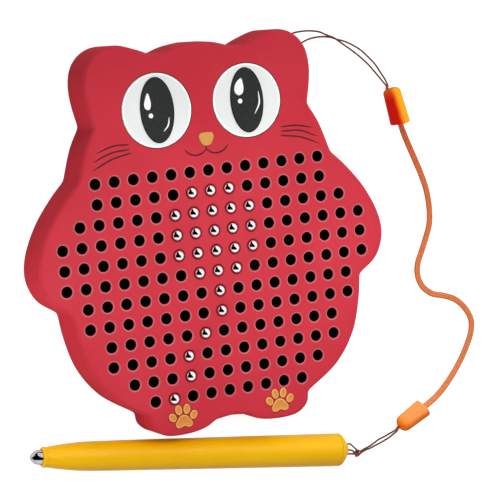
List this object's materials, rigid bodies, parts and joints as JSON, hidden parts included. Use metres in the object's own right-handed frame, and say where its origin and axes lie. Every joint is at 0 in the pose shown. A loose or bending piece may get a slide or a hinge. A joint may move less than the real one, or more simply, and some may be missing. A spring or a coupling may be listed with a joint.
{
  "type": "magnetic drawing board",
  "caption": "Cat-shaped magnetic drawing board: a hollow box whose face has a grid of holes with steel beads, and a magnetic pen on a tether cord with two clips.",
  "frame": {"origin": "on the back face, under the middle of the hole grid", "axes": "+X to the right of the face, +Y to the ears, +Z out of the face; the board lies on its back"},
  "size_m": [0.1919, 0.1701, 0.0186],
  "materials": {
    "shell": "satin moulded, fine grain",
    "tray": "dull black",
    "bead": "polished steel ball",
    "eye_white": "satin",
    "pupil": "grainy print",
    "tan": "satin",
    "screw": "zinc plated",
    "pen": "semi-gloss",
    "pen_nose": "polished",
    "magnet": "plated bar magnet",
    "cord": "twin braided cord",
    "thin_loop": "thin twisted thread",
    "clip": "glossy"
  },
  "bodies": {
    "board": {"bead_tray": "tray", "board_loop": "thin_loop", "cord_clip_lower": "clip", "cord_clip_upper": "clip", "cover_screw_1": "screw", "cover_screw_2": "screw", "cover_screw_3": "screw", "cover_screw_4": "screw", "eye_white_left": "eye_white", "eye_white_right": "eye_white", "front_shell": "shell", "nose": "tan", "pupil_left": "pupil", "pupil_right": "pupil", "rear_cover": "shell", "tether_cord": "cord"},
    "bead_r02_c08": {"bead_r02_c08": "bead"},
    "bead_r02_c09": {"bead_r02_c09": "bead"},
    "bead_r02_c10": {"bead_r02_c10": "bead"},
    "bead_r03_c07": {"bead_r03_c07": "bead"},
    "bead_r03_c08": {"bead_r03_c08": "bead"},
    "bead_r03_c09": {"bead_r03_c09": "bead"},
    "bead_r03_c10": {"bead_r03_c10": "bead"},
    "bead_r03_c11": {"bead_r03_c11": "bead"},
    "bead_r04_c07": {"bead_r04_c07": "bead"},
    "bead_r04_c08": {"bead_r04_c08": "bead"},
    "bead_r04_c09": {"bead_r04_c09": "bead"},
    "bead_r04_c10": {"bead_r04_c10": "bead"},
    "bead_r04_c11": {"bead_r04_c11": "bead"},
    "bead_r05_c07": {"bead_r05_c07": "bead"},
    "bead_r05_c08": {"bead_r05_c08": "bead"},
    "bead_r05_c09": {"bead_r05_c09": "bead"},
    "bead_r05_c10": {"bead_r05_c10": "bead"},
    "bead_r05_c11": {"bead_r05_c11": "bead"},
    "bead_r06_c08": {"bead_r06_c08": "bead"},
    "bead_r06_c09": {"bead_r06_c09": "bead"},
    "bead_r06_c10": {"bead_r06_c10": "bead"},
    "bead_r07_c09": {"bead_r07_c09": "bead"},
    "bead_r08_c09": {"bead_r08_c09": "bead"},
    "bead_r09_c08": {"bead_r09_c08": "bead"},
    "bead_r10_c07": {"bead_r10_c07": "bead"},
    "bead_r11_c07": {"bead_r11_c07": "bead"},
    "bead_r12_c05": {"bead_r12_c05": "bead"},
    "bead_r12_c06": {"bead_r12_c06": "bead"},
    "bead_r12_c07": {"bead_r12_c07": "bead"},
    "bead_r12_c08": {"bead_r12_c08": "bead"},
    "bead_r12_c09": {"bead_r12_c09": "bead"},
    "bead_r12_c10": {"bead_r12_c10": "bead"},
    "bead_r12_c11": {"bead_r12_c11": "bead"},
    "bead_r12_c12": {"bead_r12_c12": "bead"},
    "bead_r12_c13": {"bead_r12_c13": "bead"},
    "pen_loop": {"pen_loop": "thin_loop"},
    "pen": {"pen_barrel": "pen", "pen_tip": "pen_nose", "pen_magnet": "magnet", "pen_end_plug": "pen", "pen_hitch": "thin_loop"}
  },
  "joints": [
    {"name": "slide_r02_c08", "type": "slide", "parent": "board", "child": "bead_r02_c08", "axis": [0, 0, 1], "range_m": [-0.007, 0]},
    {"name": "slide_r02_c09", "type": "slide", "parent": "board", "child": "bead_r02_c09", "axis": [0, 0, 1], "range_m": [-0.007, 0]},
    {"name": "slide_r02_c10", "type": "slide", "parent": "board", "child": "bead_r02_c10", "axis": [0, 0, 1], "range_m": [-0.007, 0]},
    {"name": "slide_r03_c07", "type": "slide", "parent": "board", "child": "bead_r03_c07", "axis": [0, 0, 1], "range_m": [-0.007, 0]},
    {"name": "slide_r03_c08", "type": "slide", "parent": "board", "child": "bead_r03_c08", "axis": [0, 0, 1], "range_m": [-0.007, 0]},
    {"name": "slide_r03_c09", "type": "slide", "parent": "board", "child": "bead_r03_c09", "axis": [0, 0, 1], "range_m": [-0.007, 0]},
    {"name": "slide_r03_c10", "type": "slide", "parent": "board", "child": "bead_r03_c10", "axis": [0, 0, 1], "range_m": [-0.007, 0]},
    {"name": "slide_r03_c11", "type": "slide", "parent": "board", "child": "bead_r03_c11", "axis": [0, 0, 1], "range_m": [-0.007, 0]},
    {"name": "slide_r04_c07", "type": "slide", "parent": "board", "child": "bead_r04_c07", "axis": [0, 0, 1], "range_m": [-0.007, 0]},
    {"name": "slide_r04_c08", "type": "slide", "parent": "board", "child": "bead_r04_c08", "axis": [0, 0, 1], "range_m": [-0.007, 0]},
    {"name": "slide_r04_c09", "type": "slide", "parent": "board", "child": "bead_r04_c09", "axis": [0, 0, 1], "range_m": [-0.007, 0]},
    {"name": "slide_r04_c10", "type": "slide", "parent": "board", "child": "bead_r04_c10", "axis": [0, 0, 1], "range_m": [-0.007, 0]},
    {"name": "slide_r04_c11", "type": "slide", "parent": "board", "child": "bead_r04_c11", "axis": [0, 0, 1], "range_m": [-0.007, 0]},
    {"name": "slide_r05_c07", "type": "slide", "parent": "board", "child": "bead_r05_c07", "axis": [0, 0, 1], "range_m": [-0.007, 0]},
    {"name": "slide_r05_c08", "type": "slide", "parent": "board", "child": "bead_r05_c08", "axis": [0, 0, 1], "range_m": [-0.007, 0]},
    {"name": "slide_r05_c09", "type": "slide", "parent": "board", "child": "bead_r05_c09", "axis": [0, 0, 1], "range_m": [-0.007, 0]},
    {"name": "slide_r05_c10", "type": "slide", "parent": "board", "child": "bead_r05_c10", "axis": [0, 0, 1], "range_m": [-0.007, 0]},
    {"name": "slide_r05_c11", "type": "slide", "parent": "board", "child": "bead_r05_c11", "axis": [0, 0, 1], "range_m": [-0.007, 0]},
    {"name": "slide_r06_c08", "type": "slide", "parent": "board", "child": "bead_r06_c08", "axis": [0, 0, 1], "range_m": [-0.007, 0]},
    {"name": "slide_r06_c09", "type": "slide", "parent": "board", "child": "bead_r06_c09", "axis": [0, 0, 1], "range_m": [-0.007, 0]},
    {"name": "slide_r06_c10", "type": "slide", "parent": "board", "child": "bead_r06_c10", "axis": [0, 0, 1], "range_m": [-0.007, 0]},
    {"name": "slide_r07_c09", "type": "slide", "parent": "board", "child": "bead_r07_c09", "axis": [0, 0, 1], "range_m": [-0.007, 0]},
    {"name": "slide_r08_c09", "type": "slide", "parent": "board", "child": "bead_r08_c09", "axis": [0, 0, 1], "range_m": [-0.007, 0]},
    {"name": "slide_r09_c08", "type": "slide", "parent": "board", "child": "bead_r09_c08", "axis": [0, 0, 1], "range_m": [-0.007, 0]},
    {"name": "slide_r10_c07", "type": "slide", "parent": "board", "child": "bead_r10_c07", "axis": [0, 0, 1], "range_m": [-0.007, 0]},
    {"name": "slide_r11_c07", "type": "slide", "parent": "board", "child": "bead_r11_c07", "axis": [0, 0, 1], "range_m": [-0.007, 0]},
    {"name": "slide_r12_c05", "type": "slide", "parent": "board", "child": "bead_r12_c05", "axis": [0, 0, 1], "range_m": [0, 0.007]},
    {"name": "slide_r12_c06", "type": "slide", "parent": "board", "child": "bead_r12_c06", "axis": [0, 0, 1], "range_m": [-0.007, 0]},
    {"name": "slide_r12_c07", "type": "slide", "parent": "board", "child": "bead_r12_c07", "axis": [0, 0, 1], "range_m": [0, 0.007]},
    {"name": "slide_r12_c08", "type": "slide", "parent": "board", "child": "bead_r12_c08", "axis": [0, 0, 1], "range_m": [0, 0.007]},
    {"name": "slide_r12_c09", "type": "slide", "parent": "board", "child": "bead_r12_c09", "axis": [0, 0, 1], "range_m": [0, 0.007]},
    {"name": "slide_r12_c10", "type": "slide", "parent": "board", "child": "bead_r12_c10", "axis": [0, 0, 1], "range_m": [0, 0.007]},
    {"name": "slide_r12_c11", "type": "slide", "parent": "board", "child": "bead_r12_c11", "axis": [0, 0, 1], "range_m": [0, 0.007]},
    {"name": "slide_r12_c12", "type": "slide", "parent": "board", "child": "bead_r12_c12", "axis": [0, 0, 1], "range_m": [0, 0.007]},
    {"name": "slide_r12_c13", "type": "slide", "parent": "board", "child": "bead_r12_c13", "axis": [0, 0, 1], "range_m": [0, 0.007]},
    {"name": "pen_swing", "type": "hinge", "parent": "board", "child": "pen_loop", "pos_m": [0.07389, -0.07057, 0.004], "axis": [0, 0, 1], "range_deg": [0, 75]},
    {"name": "pen_lift", "type": "hinge", "parent": "pen_loop", "child": "pen", "pos_m": [0.05765, -0.07665, 0.00193], "axis": [0.1402, 0.9901, 0], "range_deg": [0, 85]}
  ]
}
